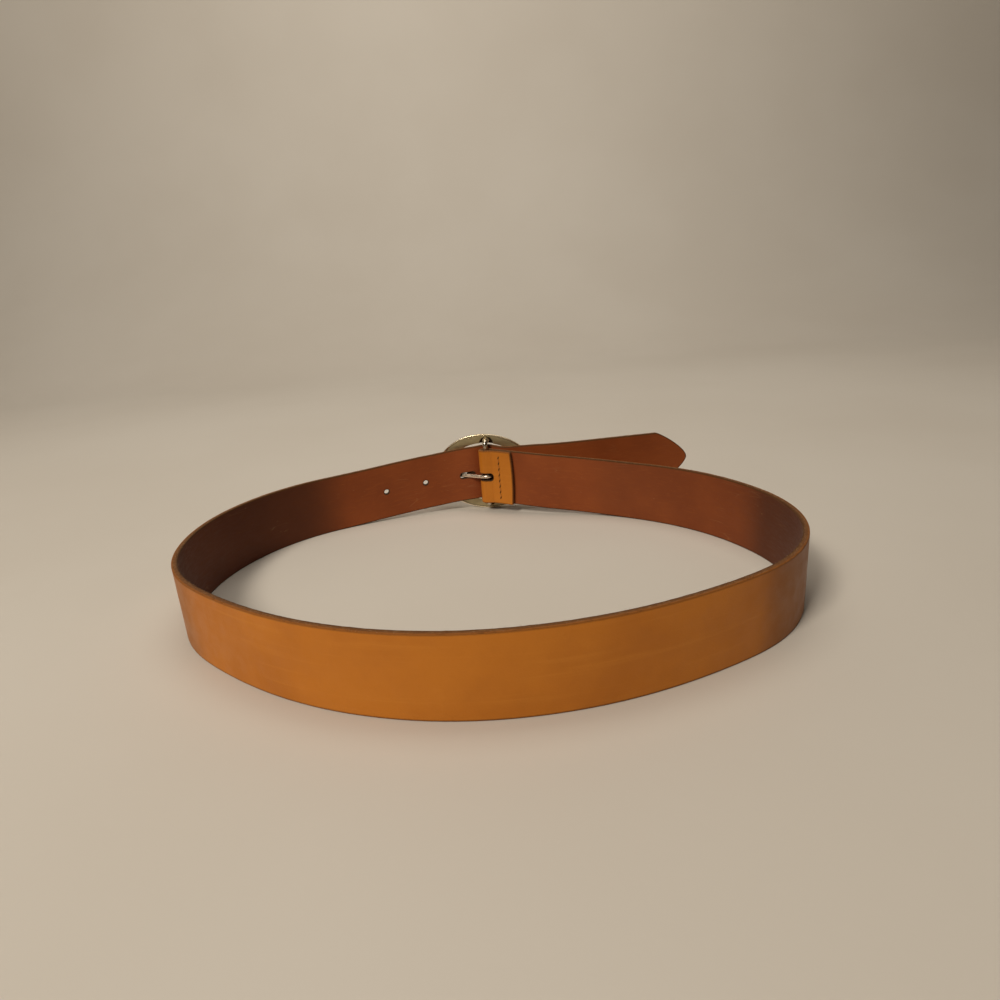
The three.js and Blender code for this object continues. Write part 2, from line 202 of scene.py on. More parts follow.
class Course:
    """The middle line of the whole strip of leather, from the flap's end round to the tail's tip."""

    def __init__(self):
        start = on_pair(FLAP_END + LEAD, -PAIR_OFFSET)
        flap = (LEAD + FLAP_END - FOLD_END, 0)
        straight = (FOLD_STRAIGHT, 0)
        fold = [flap, FOLD_EASE, straight, (FOLD_WRAP, -FOLD_TURN), straight, FOLD_EASE]
        fixed, fixed_heading = follow(*start, PAIR_HEADING + 180, fold + FIXED_SIDE)
        holed, holed_heading = follow(0, CREST_RADIUS, 180, CREST + HOLED_SIDE)
        mirrored = [(length, -turn) for length, turn in CREST]
        rim, _ = follow(0, CREST_RADIUS, 0, mirrored + UNDER_RIM + FREE_END)
        front = self.across_front(fixed[-1], fixed_heading, holed[-1], holed_heading)
        raw = np.concatenate([fixed, front, holed[::-1], rim[1:]])
        travelled = self.lengths(raw)
        at_bar = travelled[len(fixed) + len(front) + len(holed) - 1]
        self.fold = LEAD + FLAP_END - FOLD_END + FOLD_EASE[0] + FOLD_STRAIGHT + FOLD_WRAP / 2
        run = np.arange(0, travelled[-1], STEP)
        points = np.stack([np.interp(run, travelled, raw[:, k]) for k in (0, 1)], 1)
        crossing = np.exp(-(((run - at_bar) / KEPT_NEAR_BAR) ** 4))
        calm = smooth((run - self.fold - KEPT_AFTER_FOLD) / EASED_AFTER) * (1 - KEPT_SHARE * crossing)
        for _ in range(EASINGS):
            points[1:-1] += 0.25 * calm[1:-1, None] * (points[2:] - 2 * points[1:-1] + points[:-2])
        self.points = points
        self.run = self.lengths(points)
        self.bar = np.interp(at_bar, run, self.run)
        self.end = self.run[-1]
        tangent = unit(np.gradient(points, axis=0))
        self.normals = np.stack([-tangent[:, 1], tangent[:, 0]], 1)
        heading = np.unwrap(np.arctan2(tangent[:, 1], tangent[:, 0]))
        self.bend = np.abs(np.gradient(heading, self.run))
        self.lift = self.lift_of_runs(*points.T)

    def lift_of_runs(self, x, y):
        """How high the strap's lower edge stands: the end with the holes crosses the bar higher up."""
        holed = self.run > self.bar - sum(length for length, _ in CREST + HOLED_SIDE)
        right = self.run > self.bar
        rise = LIFT * smooth(1 - np.hypot(x, y) / LIFT_REACH)
        rise = np.where(right, LIFT + TAIL_RISE * smooth(x / TAIL_RISE_REACH), rise)
        reach = np.where(right, CROSSING_REACH_RIGHT, CROSSING_REACH_LEFT)
        return rise + holed * CROSSING_RISE * smooth(1 - np.hypot(x, y - CREST_RADIUS) / reach)

    @staticmethod
    def lengths(points):
        return np.concatenate([[0], np.cumsum(np.linalg.norm(np.diff(points, axis=0), axis=1))])

    @staticmethod
    def across_front(a, heading_a, b, heading_b):
        gap = np.linalg.norm(b - a)
        near_a = a + FRONT_REACH_FIXED * gap * direction(heading_a)
        near_b = b + FRONT_REACH_HOLED * gap * direction(heading_b)
        t = np.linspace(0, 1, int(1.1 * gap / STEP))[1:-1, None]
        return cubic(t, a, near_a, near_b, b)

    def place(self, run, height, across):
        """The frame's points for places on the strip: across is from its middle to the grain side."""
        columns = (*self.points.T, *self.normals.T)
        x, y, nx, ny = (np.interp(run, self.run, column) for column in columns)
        z = height + np.interp(run, self.run, self.lift)
        return in_frame(np.stack([x + across * nx, y + across * ny, z], 1))

    def run_where(self, low, high, value):
        """The run between low and high at which value(x, y) is nearest to nought."""
        inside = (self.run >= low) & (self.run <= high)
        x, y = self.points[inside].T
        return self.run[inside][np.argmin(np.abs(value(x, y)))]


course = Course()


# ---- Small mesh tools
def in_scene(name, data):
    obj = bpy.data.objects.new(name, data)
    bpy.context.scene.collection.objects.link(obj)
    return obj


def add_object(name, verts, faces, material):
    """A smooth mesh object in the scene."""
    mesh = bpy.data.meshes.new(name)
    mesh.from_pydata([tuple(v) for v in verts], [], faces)
    mesh.update()
    mesh.polygons.foreach_set("use_smooth", [True] * len(mesh.polygons))
    if material:
        mesh.materials.append(material)
    return in_scene(name, mesh)


def store(obj, **attributes):
    """Stores one number or one vector per vertex under each name, for the materials to read."""
    for name, values in attributes.items():
        values = np.asarray(values, np.float32)
        kind, field = ("FLOAT", "value") if values.ndim == 1 else ("FLOAT_VECTOR", "vector")
        obj.data.attributes.new(name, kind, "POINT").data.foreach_set(field, values.ravel())


def noise_at(points, size):
    """Smooth noise from -1 to 1 with features of about that size, one value for each point."""
    return np.array([noise.noise(Vector(p) / size) for p in points])


class Tubes:
    """Round bars and threads gathered into one mesh."""

    def __init__(self):
        self.verts, self.faces, self.along = [], [], []

    def add(self, path, radii, sides, up=(0, 0, 1), round_ends=True):
        """Adds a tube along local points. Its rings are turned by up, which it never runs along."""
        path = np.asarray(path, float)
        radii = np.broadcast_to(np.asarray(radii, float), len(path)).copy()
        if round_ends:
            path, radii = self.rounded(path, radii)
        tangent = unit(np.gradient(path, axis=0))
        side = unit(np.cross(np.asarray(up, float), tangent))
        other = np.cross(tangent, side)
        first = len(self.verts)
        turns = np.arange(sides) * 2 * math.pi / sides
        run = Course.lengths(path)
        for point, radius, a, b, travelled in zip(path, radii, side, other, run):
            ring = point + radius * (np.cos(turns)[:, None] * a + np.sin(turns)[:, None] * b)
            self.verts.extend(ring)
            self.along.extend([(travelled, turn, radius) for turn in turns])
        for i in range(len(path) - 1):
            for k in range(sides):
                a, b = first + i * sides + k, first + i * sides + (k + 1) % sides
                self.faces.append((a, b, b + sides, a + sides))
        self.faces.append(tuple(first + k for k in reversed(range(sides))))
        last = first + (len(path) - 1) * sides
        self.faces.append(tuple(last + k for k in range(sides)))

    @staticmethod
    def rounded(path, radii):
        """Adds a half ball at each end."""
        angles = np.radians([86, 68, 46, 22])
        ends = []
        for tip, inner, radius in ((path[0], path[1], radii[0]), (path[-1], path[-2], radii[-1])):
            out = (tip - inner) / np.linalg.norm(tip - inner)
            ends.append((tip + radius * np.sin(angles)[:, None] * out, radius * np.cos(angles)))
        (start, start_radii), (end, end_radii) = ends
        path = np.concatenate([start, path, end[::-1]])
        return path, np.concatenate([start_radii, radii, end_radii[::-1]])

    def build(self, name, material):
        obj = add_object(name, in_frame(self.verts), self.faces, material)
        store(obj, along=np.array(self.along) * (MM, 1, MM))
        return obj


# ---- Materials
class Surface:
    """A node material with one Principled shader, and short ways of adding nodes to it."""

    def __init__(self, name):
        self.material = bpy.data.materials.new(name)
        self.material.use_nodes = True
        self.tree = self.material.node_tree
        self.shader = self.tree.nodes["Principled BSDF"]

    def put(self, socket, value):
        if isinstance(value, bpy.types.NodeSocket):
            self.tree.links.new(value, socket)
        elif isinstance(value, tuple) and len(value) == 3 and socket.type == "RGBA":
            socket.default_value = (*value, 1)
        else:
            socket.default_value = value

    def node(self, kind, output, settings=None, **inputs):
        made = self.tree.nodes.new(kind)
        for key, value in (settings or {}).items():
            setattr(made, key, value)
        for key, value in inputs.items():
            self.put(made.inputs[key.replace("_", " ")], value)
        return made.outputs[output]

    def attribute(self, name, output="Fac"):
        return self.node("ShaderNodeAttribute", output, {"attribute_name": name})

    def in_order(self, kind, values, **settings):
        """A new node whose first inputs take these values in turn."""
        made = self.tree.nodes.new(kind)
        for key, value in settings.items():
            setattr(made, key, value)
        for socket, value in zip(made.inputs, values):
            self.put(socket, value)
        return made.outputs[0]

    def maths(self, operation, *values):
        return self.in_order("ShaderNodeMath", values, operation=operation)

    def times(self, a, b):
        return self.maths("MULTIPLY", a, b)

    def plus(self, a, b):
        return self.maths("ADD", a, b)

    def stretched(self, vector, scale):
        return self.in_order("ShaderNodeVectorMath", (vector, scale), operation="MULTIPLY")

    def noise(self, vector, scale, detail=3.0, roughness=0.5, distortion=0.0):
        return self.node("ShaderNodeTexNoise", "Fac", Vector=vector, Scale=scale, Detail=detail,
                         Roughness=roughness, Distortion=distortion)

    def cells(self, vector, scale, feature="F1"):
        settings = {"feature": feature}
        return self.node("ShaderNodeTexVoronoi", "Distance", settings, Vector=vector, Scale=scale)

    def between(self, value, low, high, to_low=0.0, to_high=1.0):
        values = (value, low, high, to_low, to_high)
        return self.in_order("ShaderNodeMapRange", values, interpolation_type="SMOOTHSTEP")

    def mix(self, factor, a, b):
        made = self.tree.nodes.new("ShaderNodeMix")
        made.data_type = "RGBA"
        self.put(made.inputs[0], factor)
        self.put(made.inputs[6], a)
        self.put(made.inputs[7], b)
        return made.outputs[2]

    def bump(self, height, distance, strength=1.0, **under):
        return self.node("ShaderNodeBump", 0, Height=height, Distance=distance, Strength=strength, **under)

    def finish(self, **inputs):
        for key, value in inputs.items():
            self.put(self.shader.inputs[key.replace("_", " ")], value)
        return self.material


GRAIN_TAN = (0.54, 0.177, 0.012)
GRAIN_DEEP = (0.46, 0.143, 0.009)
GRAIN_LIGHT = (0.59, 0.215, 0.022)
GRAIN_END_SHADE = (0.2, 0.06, 0.004)  # painted shade for the round ends of the loop, which turn away from the light: grain side
FLESH_BROWN = (0.275, 0.062, 0.01)
FLESH_DEEP = (0.22, 0.046, 0.007)
FLESH_LIGHT = (0.33, 0.086, 0.017)
FLESH_END_SHADE = (0.03, 0.009, 0.0025)  # painted shade for the round ends: flesh side
# painted shade for the mouths of the holes and needle slits
HOLE_SHADE = (0.032, 0.014, 0.0035)
EDGE_FLESH = (0.075, 0.026, 0.003)
EDGE_CORE = (0.145, 0.052, 0.011)
EDGE_GRAIN = (0.25, 0.082, 0.011)
EDGE_PALE = (0.3, 0.16, 0.06)
SCUFF_PALE = (0.5, 0.28, 0.12)


def leather_material():
    s = Surface("tan_leather")
    place = s.attribute("course", "Vector")
    names = ("rim", "side", "hole", "bend", "curved")
    rim, side, hole, bend, curved = (s.attribute(name) for name in names)
    on_grain = s.between(side, -0.25, 0.25)

    # The pigmented grain side: soft clouds of tone, long faint streaks, a few rubbed places and painted
    # shade on the round ends of the loop.
    clouds = s.noise(place, 22, 4, 0.55)
    streaks = s.noise(s.stretched(place, (14, 320, 90)), 1, 4, 0.6)
    mottle = s.noise(place, 420, 3, 0.6)
    grain = s.mix(s.between(clouds, 0.35, 0.7), GRAIN_TAN, GRAIN_DEEP)
    grain = s.mix(s.between(streaks, 0.52, 0.75, 0, 0.4), grain, GRAIN_LIGHT)
    grain = s.mix(s.between(mottle, 0.5, 0.72, 0, 0.14), grain, GRAIN_DEEP)
    rubbed = s.times(s.between(s.noise(place, 60, 5, 0.7), 0.6, 0.74), 0.25)
    grain = s.mix(rubbed, grain, GRAIN_LIGHT)
    grain = s.mix(s.between(bend, 0.3, 1, 0, 0.35), grain, GRAIN_DEEP)
    # Painted shade: the round ends of the loop are darkened, as they turn away from the light.
    grain = s.mix(s.times(curved, 0.55), grain, GRAIN_END_SHADE)

    # The sealed flesh side: matted short fibres, pale specks, fine scratches along the strap and painted
    # shade on the round ends of the loop.
    fibres = s.noise(s.stretched(place, (160, 900, 500)), 1, 5, 0.65, 0.6)
    flesh = s.mix(s.between(clouds, 0.32, 0.68), FLESH_BROWN, FLESH_DEEP)
    flesh = s.mix(s.between(fibres, 0.5, 0.74, 0, 0.55), flesh, FLESH_LIGHT)
    line = s.cells(s.stretched(place, (26, 260, 60)), 1, "DISTANCE_TO_EDGE")
    sparse = s.between(s.noise(place, 45, 2), 0.57, 0.66)
    scratch = s.times(s.between(line, 0.0, 0.02, 1, 0), sparse)
    speck = s.between(s.cells(s.stretched(place, (150, 300, 200)), 1), 0.06, 0.13, 1, 0)
    speck = s.times(speck, s.between(s.noise(place, 90, 2), 0.56, 0.64))
    # Painted shade: the flesh side goes nearly black in the round ends of the loop.
    flesh = s.mix(s.times(curved, 0.72), flesh, FLESH_END_SHADE)
    marks = s.times(s.maths("MAXIMUM", scratch, speck), 0.16)
    flesh = s.mix(marks, flesh, SCUFF_PALE)

    # The cut edge: dark along the flesh side, brown in the core and nearly tan along the grain side.
    core = s.noise(s.stretched(place, (500, 500, 1500)), 1, 4, 0.7)
    edge = s.mix(s.between(side, -0.8, -0.1), EDGE_FLESH, EDGE_CORE)
    edge = s.mix(s.between(side, 0.1, 0.9), edge, EDGE_GRAIN)
    inside = s.between(s.maths("ABSOLUTE", side), 0.3, 0.9, 0.7, 0)
    edge = s.mix(s.times(s.between(core, 0.5, 0.72), inside), edge, EDGE_PALE)
    edge = s.mix(s.between(core, 0.28, 0.5, 0.6, 0), edge, EDGE_FLESH)

    face = s.mix(on_grain, flesh, grain)
    ragged = s.plus(rim, s.times(s.maths("SUBTRACT", core, 0.5), 0.35))
    colour = s.mix(s.between(ragged, 0.45, 0.7), face, edge)
    handled = s.times(s.between(ragged, 0.1, 0.5), s.between(ragged, 0.5, 0.8, 0.45, 0))
    colour = s.mix(handled, colour, EDGE_FLESH)
    # Painted shade in and around the holes and the needle slits, darkest at their rims.
    colour = s.mix(s.between(hole, 0.35, 1, 0, 0.85), colour, HOLE_SHADE)

    pores = s.cells(place, 1500)
    grain_cells = s.cells(s.stretched(place, (1, 1.25, 1)), 620, "DISTANCE_TO_EDGE")
    grain_cells = s.between(grain_cells, 0.0, 0.35)
    wrinkles = s.noise(s.stretched(place, (1500, 130, 300)), 1, 3, 0.6, 0.4)
    wrinkles = s.times(wrinkles, s.between(bend, 0.2, 0.9))
    height = s.plus(s.times(pores, 0.3), s.times(grain_cells, 0.5))
    height = s.plus(height, s.times(wrinkles, 4.0))
    height = s.plus(height, s.times(s.noise(place, 240, 3), 1.6))
    nap = s.times(fibres, 2.6)
    rough_face = s.mix(on_grain, nap, height)
    torn = s.times(core, 7.0)
    relief = s.mix(s.between(ragged, 0.4, 0.75), rough_face, torn)
    normal = s.bump(relief, 0.00003)
    normal = s.bump(s.noise(place, 55, 2), 0.0006, 0.5, Normal=normal)

    gloss = s.between(s.noise(place, 130, 4, 0.6), 0.3, 0.7, 0.4, 0.54)
    gloss = s.mix(on_grain, s.between(fibres, 0.3, 0.7, 0.5, 0.68), gloss)
    roughness = s.mix(s.between(ragged, 0.4, 0.7), gloss, (0.88, 0.88, 0.88))
    return s.finish(Base_Color=colour, Roughness=roughness, Normal=normal, Specular_IOR_Level=0.3,
                    Sheen_Weight=0.02, Sheen_Roughness=0.5)


def fibre_material():
    s = Surface("edge_fibre")
    place = s.attribute("along", "Vector")
    tone = s.noise(s.stretched(place, (900, 0.5, 1)), 1, 2)
    colour = s.mix(s.between(tone, 0.35, 0.65), (0.2, 0.11, 0.045), (0.42, 0.26, 0.12))
    return s.finish(Base_Color=colour, Roughness=0.8, Sheen_Weight=0.2, Sheen_Roughness=0.5)


def thread_material():
    s = Surface("waxed_thread")
    along = s.attribute("along", "Vector")
    twist = s.node("ShaderNodeTexWave", "Fac", {"bands_direction": "X"},
                   Vector=s.stretched(along, (520, 0.16, 0)), Scale=1.0, Distortion=0.6, Detail=2.0)
    colour = s.mix(s.between(twist, 0.2, 0.8), (0.42, 0.14, 0.013), (0.54, 0.2, 0.026))
    normal = s.bump(s.plus(twist, s.noise(along, 9000, 2)), 0.00005)
    return s.finish(Base_Color=colour, Roughness=0.62, Normal=normal, Sheen_Weight=0.25,
                    Sheen_Roughness=0.4)


# a khaki tone painted on the frame's sunk back, standing for the floor's reflection
BACK_REFLECTION_KHAKI = (0.4, 0.33, 0.17)


def metal_material(name, bright, worn, tarnish_and_shade_colour, roughness):
    """Polished metal with fine scratches, handling marks and tarnished spots; the tarnished colour also
    darkens the frame's groove and paints shade in its pockets.
    """
    s = Surface(name)
    place = s.node("ShaderNodeTexCoord", "Object")
    hidden = s.attribute("hidden")
    dull = s.attribute("dull")
    clouds = s.noise(place, 130, 4, 0.6)
    colour = s.mix(s.between(clouds, 0.4, 0.72), bright, worn)
    # Painted reflection: the sunk back takes the khaki tone; its roughness is raised below as well.
    colour = s.mix(s.times(dull, 0.85), colour, BACK_REFLECTION_KHAKI)
    spots = s.between(s.noise(place, 900, 4, 0.7), 0.58, 0.76, 0, 0.5)
    # Tarnished spots, plus painted shade in the frame's pockets and the darkened groove.
    tarnish_and_shade_mask = s.maths("MAXIMUM", s.times(spots, s.between(clouds, 0.5, 0.7)), hidden)
    colour = s.mix(tarnish_and_shade_mask, colour, tarnish_and_shade_colour)
    hairs = s.cells(s.stretched(place, (900, 200, 260)), 1, "DISTANCE_TO_EDGE")
    others = s.cells(s.stretched(place, (210, 260, 1100)), 1, "DISTANCE_TO_EDGE")
    scratched = s.maths("MINIMUM", s.between(hairs, 0, 0.03), s.between(others, 0, 0.025))
    smudge = s.between(s.noise(place, 260, 4, 0.65), 0.35, 0.7, roughness, roughness + 0.14)
    rough = s.plus(smudge, s.times(s.maths("MAXIMUM", tarnish_and_shade_mask, dull), 0.3))
    relief = s.plus(scratched, s.times(s.noise(place, 700, 2), 0.8))
    normal = s.bump(relief, 0.0000035)
    return s.finish(Base_Color=colour, Roughness=rough, Metallic=1.0, Normal=normal)


# ---- Leather strap
EDGE_ROUND = 0.45
HOLE_ROUND = 0.3
SLIT_ROUND = 0.1
ROWS = 44
PRONG_SLOPE = 20.5
PRONG_HOLE_SLOPE = 27.0  # between the prong and the strap that it passes through
PRONG_HOLE_REACH = 4.7
PRONG_HOLE_WORN = 0.6  # the prong has drawn its hole out this far away from the bar
FLAP_BULGE = 1.1  # the flap's cut end is a little convex
FLAP_BULGE_REACH = 4.0
PUNCH_RADIUS = 0.82 * HOLE_DIAMETER / 2  # the leather has closed a little on the punched hole
SLOT_END = 4.7  # the slot for the prong ends this far beside the bar
SLOT_TALL = 2.3
PRONG_HOLE_TALL = 1.8
SLIT_WIDE = 0.24
SLIT_TALL = 0.72
SLIT_LEAN = -0.45


class Opening:
    """A hole in the strap: a stadium of half-length reach along the strap and half-height tall.

    slant is how far it shifts along the strap for each millimetre through it, and lean how far for
    each millimetre upwards.
    """

    def __init__(self, run, height, reach, tall, margin, slant=0.0, lean=0.0):
        self.run, self.height, self.reach, self.tall = run, height, reach, tall
        self.margin, self.slant, self.lean = margin, slant, lean
        self.is_slit = reach < 1  # only the needle's slits are so small
        self.straight = max(reach - tall, 0.0)

    def outline(self, run, height, grow=0.0):
        """The point of the outline that a place outside it belongs to."""
        flat = min(self.tall, self.reach)
        stretch_run, stretch_height = self.reach - self.straight + grow, self.tall + grow
        dx, dz = run - self.run, height - self.height
        middle = max(-self.straight, min(self.straight, dx))
        dx -= middle
        length = math.hypot(dx / flat, dz / flat) or 1.0
        up = dz / flat / length * stretch_height
        return self.run + middle + dx / flat / length * stretch_run + self.lean * up, self.height + up

    def distance(self, run, height):
        """How far places lie outside the outline."""
        dz = height - self.height
        dx = np.maximum(np.abs(run - self.run - self.lean * dz) - self.straight, 0)
        stretch = self.tall / (self.reach - self.straight)
        return (np.hypot(dx * stretch, dz) - self.tall) / stretch


def needle_heights():
    """How high the needle holes stand above the strap's lower edge."""
    return [MID_WIDTH + (i - (STITCHES - 1) / 2) * STITCH_PITCH for i in range(STITCHES)]


def pair_along(x, y):
    """How far a place lies from the bar along the folded pair of layers."""
    return direction(PAIR_HEADING) @ (x, y)


FLAP_STITCHES = LEAD + FLAP_END - STITCH_LINE
AFTER_FOLD = course.fold + FOLD_WRAP / 2
BACK_STITCHES = course.run_where(AFTER_FOLD, course.fold + 40, lambda x, y: pair_along(x, y) - STITCH_LINE)
BEFORE_FOLD = course.fold - FOLD_WRAP / 2 + 0.5
SLOT_REACH = course.fold - course.run_where(0, BEFORE_FOLD, lambda x, y: x - SLOT_END)


def openings():
    """The slot in the fold, the hole in use, two more holes on each side, and the needle's slits."""
    slant = -1 / math.tan(math.radians(PRONG_HOLE_SLOPE))
    in_use = course.bar - PRONG_HOLE_AT - PRONG_HOLE_WORN
    middle = PRONG_HEIGHT - np.interp(in_use, course.run, course.lift)
    made = [
        Opening(course.fold, MID_WIDTH, SLOT_REACH, SLOT_TALL, 1.6),
        Opening(in_use, middle, PRONG_HOLE_REACH, PRONG_HOLE_TALL, 4.2, slant),
    ]
    for i in (1, 2):
        for way in (-1, 1):
            run = course.bar - PRONG_HOLE_AT + way * i * HOLE_PITCH
            made.append(Opening(run, MID_WIDTH, PUNCH_RADIUS, PUNCH_RADIUS, 1.5))
    for run in (FLAP_STITCHES, BACK_STITCHES):
        for height in needle_heights():
            made.append(Opening(run, height, SLIT_WIDE, SLIT_TALL, 0.7, lean=SLIT_LEAN))
    return made


OPENINGS = openings()

# Gaps between the columns of the strap's mesh, and how far from its place each gap is kept.
FOLD_GAP, FOLD_REACH = 0.5, 24
PIERCED_GAP, PIERCED_REACH, BAR_REACH = 0.75, 10, 12
TIP_GAP, TIP_REACH = 0.9, 6
PLAIN_GAP = 1.5


def column_runs():
    """Where the columns of the strap's mesh stand: close together where it bends or is pierced."""
    runs = [LEAD + EDGE_ROUND]
    last = course.end - EDGE_ROUND
    pierced = [hole.run for hole in OPENINGS]
    while runs[-1] < last:
        here = runs[-1]
        if here < course.fold + FOLD_REACH:
            gap = FOLD_GAP
        elif min(abs(here - run) for run in pierced) < PIERCED_REACH:
            gap = PIERCED_GAP
        elif abs(here - course.bar) < BAR_REACH:
            gap = PIERCED_GAP
        elif here > course.end - TIP_LENGTH - TIP_REACH:
            gap = TIP_GAP
        else:
            gap = PLAIN_GAP
        runs.append(here + gap)
    scale = (last - runs[0]) / (runs[-1] - runs[0])
    return [runs[0] + (run - runs[0]) * scale for run in runs]


def tip_outline():
    """Angles and distances of the tail's cut end, seen from midway between its two shoulders."""
    t = np.linspace(0, 1, 200)[:, None]
    # Its ends and handles, as shares of the tip's length and half-width.
    shape = np.array([(0, -1), (0.37, -0.84), (1, -0.26), (1, 0)])
    curve = cubic(t, *(shape * (TIP_LENGTH, MID_WIDTH)))
    curve = np.concatenate([curve, curve[-2::-1] * (1, -1)])
    return np.arctan2(curve[:, 1], curve[:, 0]), np.hypot(*curve.T) - EDGE_ROUND


TIP_ANGLES, TIP_DISTANCES = tip_outline()


def shaped(run, height):
    """Moves the places of an oblong sheet to the convex end of the flap and the tail's pointed tip."""
    run, height = run.copy(), height.copy()
    crown = 1 - ((height - MID_WIDTH) / MID_WIDTH) ** 2
    near = np.clip(1 - (run - LEAD) / FLAP_BULGE_REACH, 0, 1)
    run -= FLAP_BULGE * crown * near
    start = course.end - TIP_LENGTH
    tip = run > start
    dx, dz = run[tip] - start, height[tip] - MID_WIDTH
    full_x, full_z = TIP_LENGTH - EDGE_ROUND, MID_WIDTH - EDGE_ROUND
    share = np.maximum(dx / full_x, np.abs(dz) / full_z)
    angle = np.arctan2(dz, dx)
    oblong = np.hypot(dx, dz) / np.maximum(share, 1e-9)
    cut = np.interp(angle, TIP_ANGLES, TIP_DISTANCES)
    pull = 1 + (cut / oblong - 1) * share**1.5
    run[tip] = start + dx * pull
    height[tip] = MID_WIDTH + dz * pull
    return run, height


def sheet_layout():
    """The strap laid flat: its places, its faces and how much each place slants with its hole."""
    runs = column_runs()
    heights = np.linspace(EDGE_ROUND, STRAP_WIDTH - EDGE_ROUND, ROWS + 1)
    index = {}
    places, slants = [], []

    def vertex(key, run, height, slant=0.0):
        if key not in index:
            index[key] = len(places)
            places.append((run, height))
            slants.append(slant)
        return index[key]

    def grid(i, j):
        return vertex((i, j), runs[i], heights[j])

    def span(values, middle, reach):
        """The indices of the values just outside middle - reach and middle + reach."""
        low = np.searchsorted(values, middle - reach, "right") - 1
        return int(low), int(np.searchsorted(values, middle + reach))

    blocked = set()
    faces = []
    for number, hole in enumerate(OPENINGS):
        low_i, high_i = span(runs, hole.run, hole.reach + hole.margin)
        low_j, high_j = span(heights, hole.height, hole.tall + hole.margin)
        blocked.update((i, j) for i in range(low_i, high_i) for j in range(low_j, high_j))
        around = [(i, low_j) for i in range(low_i, high_i)]
        around += [(high_i, j) for j in range(low_j, high_j)]
        around += [(i, high_j) for i in range(high_i, low_i, -1)]
        around += [(low_i, j) for j in range(high_j, low_j, -1)]
        rings = 2 if hole.is_slit else 4
        rim_radius = SLIT_ROUND if hole.is_slit else HOLE_ROUND
        loops = [[grid(i, j) for i, j in around]]
        for ring in range(1, rings + 1):
            share = 1 - (1 - ring / rings) ** 1.4  # the rings draw together towards the rim
            loop = []
            for i, j in around:
                run, height = runs[i], heights[j]
                to_run, to_height = hole.outline(run, height, rim_radius)
                place = (run + (to_run - run) * share, height + (to_height - height) * share)
                loop.append(vertex((number, ring, i, j), *place, hole.slant * share))
            loops.append(loop)
        for outer, inner in zip(loops, loops[1:]):
            for k in range(len(outer)):
                n = (k + 1) % len(outer)
                faces.append((outer[k], outer[n], inner[n], inner[k]))
    for i in range(len(runs) - 1):
        for j in range(ROWS):
            if (i, j) not in blocked:
                faces.append((grid(i, j), grid(i + 1, j), grid(i + 1, j + 1), grid(i, j + 1)))
    return np.array(places), faces, np.array(slants)


def border_loops(faces):
    """The closed loops of edges that only one face uses, each in its faces' order."""
    used = dict.fromkeys(pair for face in faces for pair in zip(face, face[1:] + face[:1]))
    following = {a: b for a, b in used if (b, a) not in used}
    loops = []
    while following:
        start, here = following.popitem()
        loop = [start]
        while here != start:
            loop.append(here)
            here = following.pop(here)
        loops.append(loop)
    return loops


def rim_profile(radius):
    """(outwards, across) points over a cut edge, from the grain face to the flesh face."""
    arc = [math.radians(a) for a in (22, 45, 68, 90)]
    top = [(radius * math.sin(a), HALF - radius + radius * math.cos(a)) for a in arc]
    level = HALF - radius
    middle = [(radius + 0.03, level / 3), (radius + 0.03, -level / 3)]
    return top + middle + [(out, -across) for out, across in reversed(top)]


OUTER_LOOP = 400  # the strap's own border has more points than this
SLIT_LOOP = 24  # and a slit's rim no more than this


def strap_arrays():
    """Run, height, across, rim and raggedness of every vertex of the strap, and the faces."""
    places, sheet_faces, slants = sheet_layout()
    run, height = shaped(*places.T)
    count = len(run)
    arrays = {
        "run": [run + slants * HALF, run - slants * HALF],
        "height": [height, height],
        "across": [np.full(count, HALF), np.full(count, -HALF)],
        "rim": [np.zeros(count), np.zeros(count)],
        "ragged": [np.zeros(count), np.zeros(count)],
    }
    faces = list(sheet_faces)
    faces += [tuple(v + count for v in reversed(face)) for face in sheet_faces]
    total = 2 * count
    for loop in border_loops(sheet_faces):
        at = np.array(loop)
        outer_border = len(loop) > OUTER_LOOP
        hole_radius = HOLE_ROUND if len(loop) > SLIT_LOOP else SLIT_ROUND
        radius = EDGE_ROUND if outer_border else hole_radius
        around = np.stack([run[at], height[at]])
        ahead = np.roll(around, -1, axis=1) - np.roll(around, 1, axis=1)
        ahead /= np.linalg.norm(ahead, axis=0)
        outward = np.stack([ahead[1], -ahead[0]])
        for side in (0, 1):
            arrays["rim"][side][at] = 0.5
        rings = [at]
        for out, across in rim_profile(radius):
            arrays["run"].append(run[at] + outward[0] * out + slants[at] * across)
            arrays["height"].append(height[at] + outward[1] * out)
            arrays["across"].append(np.full(len(at), across))
            arrays["rim"].append(np.full(len(at), 1.0))
            arrays["ragged"].append(np.full(len(at), out / radius if outer_border else 0.3))
            rings.append(np.arange(total, total + len(at)))
            total += len(at)
        rings.append(at + count)
        for upper, lower in zip(rings, rings[1:]):
            for k in range(len(at)):
                n = (k + 1) % len(at)
                faces.append((upper[n], upper[k], lower[k], lower[n]))
    return {key: np.concatenate(parts) for key, parts in arrays.items()}, faces


def nearest_hole(run, height, across):
    """About 1 at the rim of a hole, falling to 0 over a millimetre or two: it presses the leather in and
    sets the painted shade there.
    """
    near = np.zeros(len(run))
    for hole in OPENINGS:
        reach, most = (0.25, 0.9) if hole.is_slit else (1.0, 1.0)
        close = np.abs(run - hole.run) < hole.reach + 6
        gap = hole.distance(run[close] - hole.slant * across[close], height[close])
        near[close] = np.maximum(near[close], most * np.exp(-np.maximum(gap, 0) / reach))
    return near


